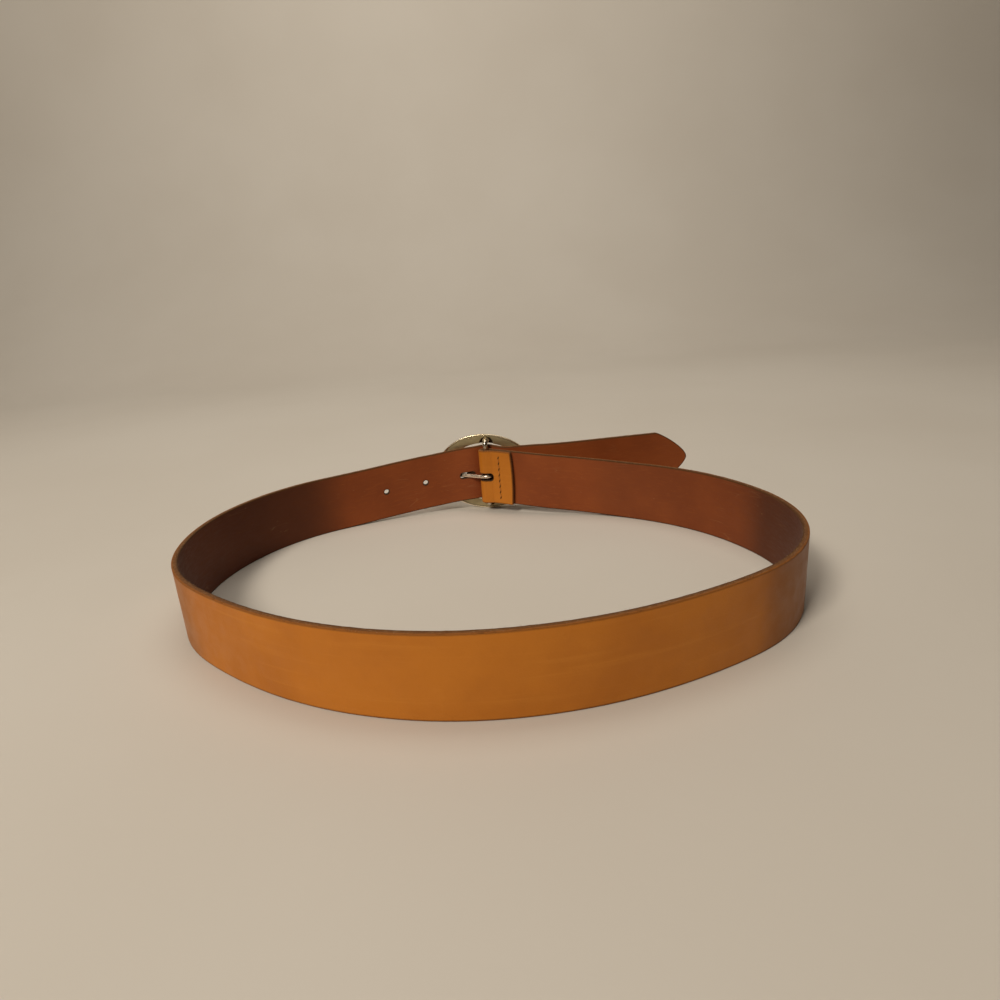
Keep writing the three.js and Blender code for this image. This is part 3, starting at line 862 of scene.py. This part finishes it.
PRESS_AT_HOLES = 0.16
PRESS_OF_STITCHES = 0.14
STITCH_PRESS_REACH = 0.9
RAGGED_DEPTH = 0.085
SWAY = 0.35
SWAY_SIZE = 52
SWAY_FREE = 45  # the fit at the buckle leaves no sway nearer to it than this
RIPPLE = 0.03
RIPPLE_SIZE = 6.5


def curved_at(run):
    """Where the leather is painted in shade: 1 in the round ends of the loop, 0 in its flatter sides and
    near the buckle.
    """
    spread = np.exp(-((np.arange(-120, 121) * STEP / 15) ** 2))
    broad = np.convolve(np.minimum(course.bend, 0.02), spread / spread.sum(), "same")
    from_bar = np.minimum(np.abs(course.run - course.bar), np.abs(course.run - course.fold))
    ends = smooth((broad - 0.006) / 0.0055) * smooth((from_bar - 45) / 40)
    return np.interp(run, course.run, ends)


def make_strap(material):
    """The whole strip of leather in one mesh, with what its material needs to know of each place."""
    a, faces = strap_arrays()
    run, height, across = a["run"], a["height"], a["across"]
    flat = np.stack([run, height, across], 1)
    near = nearest_hole(run, height, across)
    bend = np.interp(run, course.run, course.bend)

    # Pressed in round the holes, and a little uneven everywhere but in the close fit of the buckle.
    side = np.sign(across)
    on_face = 1 - a["rim"]
    pressed = across - side * PRESS_AT_HOLES * near**2 * on_face
    stitch_gap = np.minimum(np.abs(run - FLAP_STITCHES), np.abs(run - BACK_STITCHES))
    pressed -= side * PRESS_OF_STITCHES * np.exp(-((stitch_gap / STITCH_PRESS_REACH) ** 2)) * on_face
    uneven = noise_at(flat * (1, 1, 6), 2.1) + 0.7 * noise_at(flat * (1, 1, 4), 0.75)
    ragged = RAGGED_DEPTH * uneven * a["ragged"]
    lean = np.where(height > MID_WIDTH, 1, -1)
    lifted = height + ragged * lean * (np.abs(height - MID_WIDTH) > MID_WIDTH - 1.2)
    from_bar = np.minimum(np.abs(run - course.bar), np.abs(run - course.fold))
    sway = SWAY * noise_at(np.stack([run, height * 0.35, 0 * run], 1), SWAY_SIZE)
    sway *= smooth((from_bar - SWAY_FREE) / 60)
    ripple = RIPPLE * noise_at(np.stack([run, height, side * 20], 1), RIPPLE_SIZE)
    verts = course.place(run, lifted, pressed + sway + ripple * on_face)
    verts[:, 2] = np.maximum(verts[:, 2], 0)

    obj = add_object("leather_strap", verts, faces, material)
    # The holes and needle slits are marked here for painted shade.
    store(obj, course=flat * MM, rim=a["rim"], side=np.clip(across / HALF, -1, 1), hole=near)
    # The loop's round ends are marked here for painted shade.
    store(obj, bend=np.clip(bend * 5, 0, 1), curved=curved_at(run))
    return obj


# ---- Fibres of the cut edges
FIBRES = 4200
FIBRE_RADIUS = 0.045
TOP_SHARE = 0.72  # stand on the upper edge


def make_fibres(material):
    """Short loose fibres that stand off the raw edges, in one mesh."""
    rng = random.Random(7)
    tubes = Tubes()
    last = course.end - TIP_LENGTH
    for _ in range(FIBRES):
        run = rng.uniform(LEAD + 1, last)
        top = rng.random() < TOP_SHARE
        across = rng.triangular(-HALF, HALF, -0.5)
        rise, edge, share = (1, STRAP_WIDTH - 0.15, 1) if top else (-1, 0.15, 0.35)
        length = rng.uniform(0.25, 0.8) * rng.choice((0.6, 1, 1.25)) * share
        steps = np.linspace(0, 1, 4)
        sweep = rng.uniform(-1, 1) * length
        tilt = rng.uniform(-0.8, 0.8) * length
        runs = run + sweep * steps**1.6
        heights = np.maximum(edge + rise * length * (0.75 * steps - 0.2 * steps**2), 0.02)
        acrosses = across + tilt * steps**1.4
        points = to_local(course.place(runs, heights, acrosses))
        tubes.add(points, FIBRE_RADIUS * (1 - 0.6 * steps), 3, (0.3, 0.8, 0.1), round_ends=False)
    return tubes.build("edge_fibres", material)


# ---- Buckle
BAR_LEG_AT = 21.0
BAR_BEND_RADIUS = 2.4
BAR_LEG_DEPTH = 2.4
POCKET_RADIUS = 4.4
POCKET_AT = 18.8
POCKET_DEPTH = 1.4
SUNK_DEPTH = 0.22  # of the frame's back below its rim
GROOVE_DEPTH = 0.5  # just inside the rim
RING_STEPS = 288
CUTTER_STEPS = 64


def rounded_corners(corners):
    """A closed outline from (x, y, radius) corners, with an arc at each."""
    points = []
    for k, (x, y, radius) in enumerate(corners):
        here = np.array([x, y])
        back = np.array(corners[k - 1][:2]) - here
        ahead = np.array(corners[(k + 1) % len(corners)][:2]) - here
        back /= np.linalg.norm(back)
        ahead /= np.linalg.norm(ahead)
        half = math.acos(np.clip(back @ ahead, -1, 1)) / 2
        if radius < 0.01 or half > 1.5:
            points.append(tuple(here))
            continue
        start, end = here + back * radius / math.tan(half), here + ahead * radius / math.tan(half)
        middle = here + (back + ahead) / np.linalg.norm(back + ahead) * radius / math.sin(half)
        for t in np.linspace(0, 1, 5):
            spoke = (start - middle) * (1 - t) + (end - middle) * t
            points.append(tuple(middle + spoke / np.linalg.norm(spoke) * radius))
    return points


def ring_section():
    """(outwards from the inner edge, away from the wearer) round the frame's band."""
    band, rise = FRAME_BAND, 1.0
    back = [
        (0.0, SUNK_DEPTH, 0.2),
        (band - 0.98, SUNK_DEPTH, 0.05),
        (band - 0.93, GROOVE_DEPTH, 0.05),
        (band - 0.72, GROOVE_DEPTH, 0.05),
        (band - 0.66, 0.0, 0.16),
        (band - 0.06, 0.0, 0.25),
    ]
    dome = []
    for angle in np.radians(np.linspace(0, 180, 27)):
        out = band / 2 * (1 + math.cos(angle))
        dome.append((out, rise + (FRAME_THICKNESS - rise) * math.sin(angle) ** 0.92, 0.0))
    return rounded_corners(back + dome)


def revolved(profile, steps, is_ring):
    """A solid about the Y axis from (radius, y) points: a closed ring, or a spindle with flat ends."""
    verts, faces = [], []
    count = len(profile)
    for i in range(steps):
        angle = 2 * math.pi * i / steps
        verts += [(r * math.cos(angle), y, r * math.sin(angle)) for r, y in profile]
        here, there = i * count, (i + 1) % steps * count
        for k in range(count if is_ring else count - 1):
            n = (k + 1) % count
            faces.append((here + k, here + n, there + n, there + k))
    if not is_ring:
        faces.append(tuple(i * count for i in range(steps)))
        faces.append(tuple(i * count + count - 1 for i in reversed(range(steps))))
    return np.array(verts), faces


def facing_out(obj):
    """Turns the faces of a closed mesh outwards."""
    mesh = bmesh.new()
    mesh.from_mesh(obj.data)
    bmesh.ops.recalc_face_normals(mesh, faces=mesh.faces)
    mesh.to_mesh(obj.data)
    mesh.free()


def drilled(obj, cutters):
    """Takes the cutters out of obj and out of the scene."""
    for cutter in cutters:
        facing_out(cutter)
        modifier = obj.modifiers.new(cutter.name, "BOOLEAN")
        modifier.object = cutter
        modifier.operation = "DIFFERENCE"
        modifier.solver = "EXACT"
    graph = bpy.context.evaluated_depsgraph_get()
    cut = bpy.data.meshes.new_from_object(obj.evaluated_get(graph), depsgraph=graph)
    obj.modifiers.clear()
    obj.data = cut
    for cutter in cutters:
        bpy.data.objects.remove(cutter)


def pocket_cutters():
    """Solids for the round pocket and the leg's socket at each end of the bar."""
    cutters = []
    depth, flare, outside = POCKET_DEPTH, 0.3, -0.6
    wide, mouth, snug = POCKET_RADIUS + flare, BAR_RADIUS + 0.45, BAR_RADIUS + 0.2
    pocket = [(wide, outside), (wide, 0.18), (POCKET_RADIUS, 0.18 + flare)]
    for angle in np.radians([0, 22, 45, 68, 90]):
        pocket.append((POCKET_RADIUS - 0.5 + 0.5 * math.cos(angle), depth - 0.5 + 0.5 * math.sin(angle)))
    socket = [(mouth, outside), (mouth, depth), (snug, depth + 0.25), (snug, BAR_LEG_DEPTH + 0.2)]
    for way in (-1, 1):
        for profile, at in ((pocket, POCKET_AT), (socket, BAR_LEG_AT)):
            verts, faces = revolved(profile, CUTTER_STEPS, is_ring=False)
            verts += (0, FRAME_BACK, FRAME_CENTRE + way * at)
            cutters.append(add_object(f"cutter_{way}_{at}", in_frame(verts), faces, None))
    return cutters


def oval():
    """From a round ring about the Y axis to the frame's oval, which dips to the right."""
    stretch = np.diag([FRAME_WIDTH / FRAME_HEIGHT, 1, 1])
    dip = np.array(Matrix.Rotation(FRAME_DIP, 3, "Y"))
    turned = dip @ stretch
    tall = np.hypot(turned[2, 0], turned[2, 2])
    return np.diag([1, 1, 1 / tall]) @ turned


def make_ring(material):
    """The oval frame: domed in front, sunk behind, with its pockets and sockets cut out."""
    inner = FRAME_HEIGHT / 2 - FRAME_BAND
    section = [(inner + out, depth) for out, depth in ring_section()]
    verts, faces = revolved(section, RING_STEPS, is_ring=True)
    verts = verts @ oval().T + (FRAME_ASIDE, FRAME_BACK, FRAME_CENTRE)
    ring = add_object("buckle_ring", in_frame(verts), faces, material)
    facing_out(ring)
    drilled(ring, pocket_cutters())
    mesh = ring.data
    mesh.set_sharp_from_angle(angle=math.radians(38))

    # The tarnished colour darkens the groove and paints shade in the pockets, and the sunk back is duller,
    # with a painted khaki reflection.
    local = to_local([v.co for v in mesh.vertices])
    depth = local[:, 1] - FRAME_BACK
    round_place = (local - (FRAME_ASIDE, FRAME_BACK, FRAME_CENTRE)) @ np.linalg.inv(oval()).T
    outwards = np.hypot(round_place[:, 0], round_place[:, 2]) - inner
    from_rim = FRAME_BAND - outwards
    sunk = (np.abs(depth - SUNK_DEPTH) < 0.06) & (from_rim > 0.9)
    groove = (depth > 0.3) & (depth < GROOVE_DEPTH + 0.06) & (from_rim < 1.1) & (from_rim > 0.6)
    from_pocket = np.hypot(local[:, 0], np.abs(local[:, 2] - FRAME_CENTRE) - POCKET_AT)
    in_pocket = from_pocket < POCKET_RADIUS + 0.02
    pocket = in_pocket & (depth > 0.5) & (depth < BAR_LEG_DEPTH + 0.3)
    # The groove gets 0.8 of the dark colour; the pockets get all of it as painted shade.
    store(ring, hidden=np.where(groove, 0.8, np.where(pocket, 1.0, 0.0)), dull=sunk)
    return ring


def make_bar(material):
    """The round bar with both ends bent into the frame's back."""
    end = FRAME_BACK + BAR_LEG_DEPTH
    leg = end - BAR_BEND_RADIUS
    bend = (math.radians(90) * BAR_BEND_RADIUS, 90)
    runs = [(leg, 0), bend, (2 * (BAR_LEG_AT - BAR_BEND_RADIUS), 0), bend, (leg, 0)]
    path, _ = follow(end, FRAME_CENTRE + BAR_LEG_AT, 180, runs)
    points = np.column_stack([np.zeros(len(path)), path])
    tubes = Tubes()
    tubes.add(points, BAR_RADIUS, 40, (1, 0, 0))
    return tubes.build("bar_rod", material)


SHANK = [(15, 0), (6, -16), (4.7, -4), (6, 38), (3, 3)]  # runs of (length, turn) to its tip
CURL_TURN = 270
PRONG_TAPER = 9.0  # the prong thins over this length to its tip


def make_prong(material):
    """A wire curled round the bar, with a shank that passes out through the strap towards the rim."""
    radius = PRONG_DIAMETER / 2
    curl = BAR_RADIUS + LAYER_GAP + radius
    heading = 90 - PRONG_SLOPE
    x, y = -curl * math.sin(math.radians(heading)), curl * math.cos(math.radians(heading))
    runs = [(math.radians(CURL_TURN) * curl, -CURL_TURN)] + SHANK
    path, _ = follow(x, y, heading, runs)
    points = np.column_stack([path, np.full(len(path), PRONG_HEIGHT)])
    left = Course.lengths(path)[-1] - Course.lengths(path)
    radii = radius * (1 - 0.16 * smooth(1 - left / PRONG_TAPER))
    tubes = Tubes()
    tubes.add(points, radii, 36)
    return tubes.build("prong_wire", material)


# ---- Stitches
THREAD_RADIUS = 0.26
PLY_RADIUS = 0.16
PLY_OFFSET = 0.12
PLY_TWISTS = 2.6
STITCH_DIVE = 1.5  # how deep the ends of a stitch go
STITCH_SLANT = 0.5  # how far a stitch leans along the strap between two needle holes
STITCH_SHARE = 0.6  # of the way between two needle holes that a stitch lies in sight


def make_stitches(name, run, material):
    """Stitches of two-ply thread that bow over the leather and dive into the needle holes."""
    tubes = Tubes()
    heights = needle_heights()
    surface = HALF - 0.1
    for low, high in zip(heights, heights[1:]):
        t = np.linspace(0, 1, 41)
        height = (low + high) / 2 + (high - low) * STITCH_SHARE * (t - 0.5)
        lean = STITCH_SLANT * (t - 0.5)
        over = surface + THREAD_RADIUS * 0.9 - STITCH_DIVE * (np.abs(2 * t - 1) ** 7)
        for ply in (0, math.pi):
            twist = 2 * math.pi * PLY_TWISTS * t + ply
            runs = run + lean + PLY_OFFSET * np.cos(twist)
            across = over + PLY_OFFSET * np.sin(twist)
            tubes.add(to_local(course.place(runs, height, across)), PLY_RADIUS, 8, (0.9, 0.3, 0.05))
    return tubes.build(name, material)


# ---- Build
strap = make_strap(leather_material())
fibres = make_fibres(fibre_material())

# Each metal has its bright, worn and tarnished colours, and how rough it is; the tarnished one also paints
# shade in the frame's pockets.
ring_metal = metal_material("pale_gold", (1.0, 0.89, 0.66), (0.9, 0.76, 0.5), (0.06, 0.04, 0.02), 0.18)
bar_metal = metal_material(
    "worn_nickel", (0.76, 0.67, 0.53), (0.57, 0.48, 0.35), (0.11, 0.085, 0.055), 0.21
)
prong_metal = metal_material("worn_gold", (0.9, 0.76, 0.6), (0.76, 0.62, 0.48), (0.12, 0.08, 0.05), 0.22)
ring = make_ring(ring_metal)
bar = make_bar(bar_metal)
prong = make_prong(prong_metal)
thread = thread_material()
needle = make_stitches("needle_stitches", FLAP_STITCHES, thread)
bobbin = make_stitches("bobbin_stitches", BACK_STITCHES, thread)

for piece in (strap, fibres):
    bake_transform(piece)
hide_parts("strap", "strap_tail")
for piece, body, node, slot in (
    (ring, "buckle", "buckle_frame", "buckle_gold"),
    (bar, "buckle", "centre_bar", "bar_metal"),
    (prong, "prong", "prong", "prong_metal"),
    (needle, "strap", "needle_thread", "stitch_thread"),
    (bobbin, "strap", "bobbin_thread", "stitch_thread"),
):
    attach(piece, body)
    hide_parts(node)


# ---- Floor, light and camera
def floor_material():
    s = Surface("pale_floor")
    place = s.node("ShaderNodeTexCoord", "Object")
    tone = s.noise(place, 3, 4, 0.5)
    colour = s.mix(s.between(tone, 0.3, 0.7), (0.62, 0.575, 0.515), (0.59, 0.542, 0.48))
    normal = s.bump(s.noise(place, 160, 3), 0.0001, 0.4)
    return s.finish(Base_Color=colour, Roughness=0.6, Normal=normal)


FLOOR_REACH = 30.0
SWEEP_START = 0.75  # the floor curves up from here
SWEEP_RADIUS = 0.6
SWEEP_HEIGHT = 6.0


def make_floor(material):
    """A plain floor that curves up into a plain backdrop."""
    profile = [(-FLOOR_REACH, 0.0)]
    for angle in np.radians(np.linspace(0, 90, 33)):
        along = SWEEP_START + SWEEP_RADIUS * math.sin(angle)
        profile.append((along, SWEEP_RADIUS * (1 - math.cos(angle))))
    profile.append((SWEEP_START + SWEEP_RADIUS, SWEEP_HEIGHT))
    verts = [(x, y, z) for x in (-FLOOR_REACH, FLOOR_REACH) for y, z in profile]
    count = len(profile)
    faces = [(k, k + count, k + count + 1, k + 1) for k in range(count - 1)]
    return add_object("floor", verts, faces, material)


floor = make_floor(floor_material())


def add_turned(name, data, place, turn):
    """A light or a camera at a place, turned by a quaternion."""
    obj = in_scene(name, data)
    obj.location = place
    obj.rotation_mode = "QUATERNION"
    obj.rotation_quaternion = turn
    return obj


def add_softbox(name, place, target, size, watts, colour):
    """A square light that faces a target."""
    light = bpy.data.lights.new(name, "AREA")
    light.energy, light.size, light.color = watts, size, colour
    turn = (Vector(place) - Vector(target)).to_track_quat("Z", "Y")
    add_turned(name, light, place, turn).visible_camera = False


add_softbox("key", (-0.8, -1.02, 1.3), (0, 0, 0), 0.5, 24, (1.0, 0.92, 0.8))
add_softbox("backdrop", (0, 0.4, 1.3), (0, 1.3, 0.2), 1.0, 6.5, (1.0, 0.93, 0.82))
add_softbox("overhead", (0.1, 0.1, 1.6), (0, 0, 0), 0.5, 1.6, (1.0, 0.95, 0.86))

WORLD_COLOUR = (0.52, 0.45, 0.36, 1)
WORLD_STRENGTH = 0.085


def add_world():
    world = bpy.data.worlds.new("studio")
    world.use_nodes = True
    inputs = world.node_tree.nodes["Background"].inputs
    inputs["Color"].default_value = WORLD_COLOUR
    inputs["Strength"].default_value = WORLD_STRENGTH
    bpy.context.scene.world = world
    bpy.context.scene.view_settings.view_transform = "Standard"


CAMERA_FROM_BAR = Vector((7.0, -430.9, 149.9)) * MM
CAMERA_PITCH = 18.42
CAMERA_ROLL = -4.3
CAMERA_LENS = 24.84


def add_camera():
    """Stands where the photo's camera stood, as far as the strap's outline shows it."""
    data = bpy.data.cameras.new("camera")
    data.sensor_width = 36
    data.lens = CAMERA_LENS
    data.clip_start = 0.01
    pitched = Matrix.Rotation(math.radians(90 - CAMERA_PITCH), 3, "X")
    rolled = pitched @ Matrix.Rotation(math.radians(CAMERA_ROLL), 3, "Z")
    place = Vector((BAR.x, BAR.y, 0)) + CAMERA_FROM_BAR
    bpy.context.scene.camera = add_turned("camera", data, place, rolled.to_quaternion())


add_world()
add_camera()
